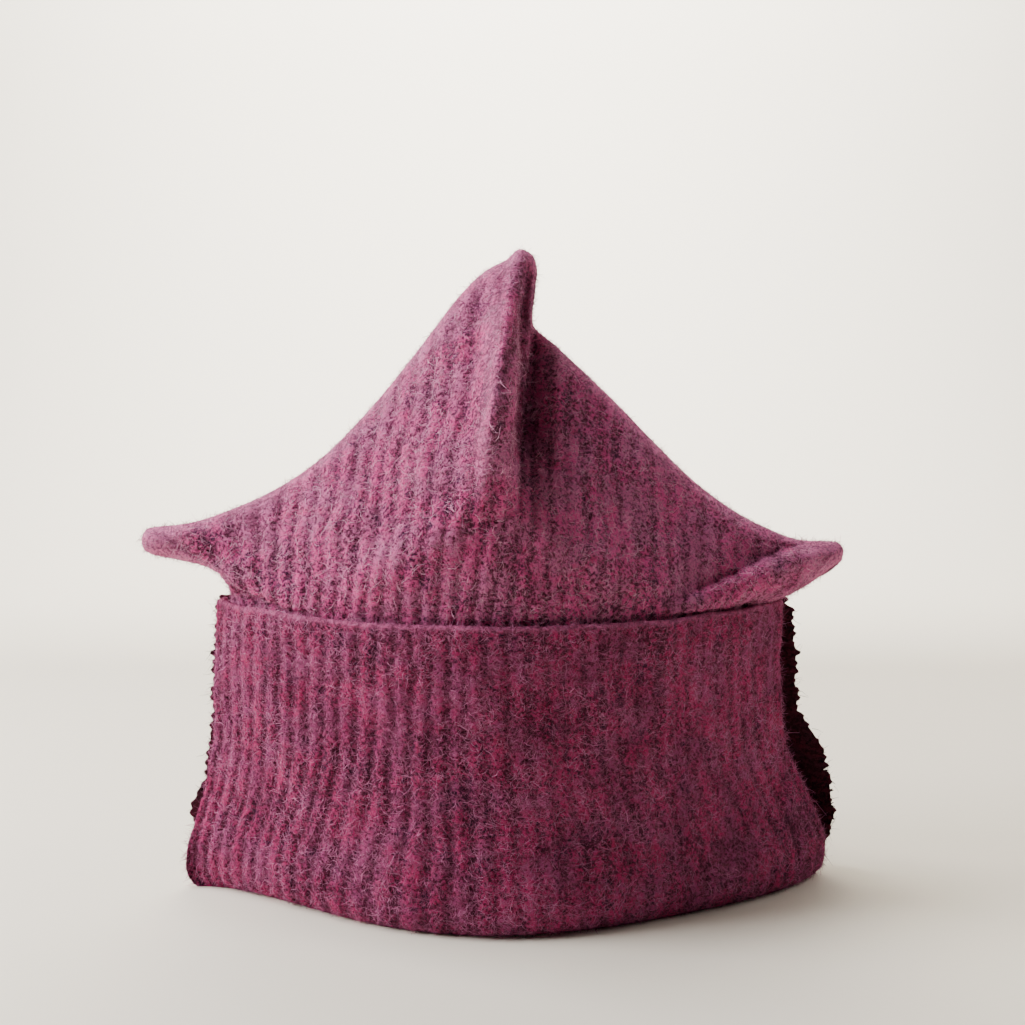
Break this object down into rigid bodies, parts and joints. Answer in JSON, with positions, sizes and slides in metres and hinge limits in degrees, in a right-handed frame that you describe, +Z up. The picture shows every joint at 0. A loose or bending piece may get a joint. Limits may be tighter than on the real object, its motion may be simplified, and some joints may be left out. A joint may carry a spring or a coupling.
{
  "type": "knit hat",
  "caption": "Felted rib-knit hat closed along a top seam into two side horns and a pinched peak, its lower edge turned up as a front cuff and a dark back cuff.",
  "frame": {"origin": "on the surface the hat stands on, under the middle of its bounding box", "axes": "+X to the wearer's left horn as seen from the front (the viewer's right), +Y to the back, +Z up through the peak"},
  "size_m": [0.2658, 0.1214, 0.238],
  "materials": {
    "felt_knit": "matte",
    "dark_knit": "matte"
  },
  "bodies": {
    "root": {"crown": "felt_knit", "front_cuff": "felt_knit", "back_cuff": "dark_knit"}
  },
  "joints": []
}
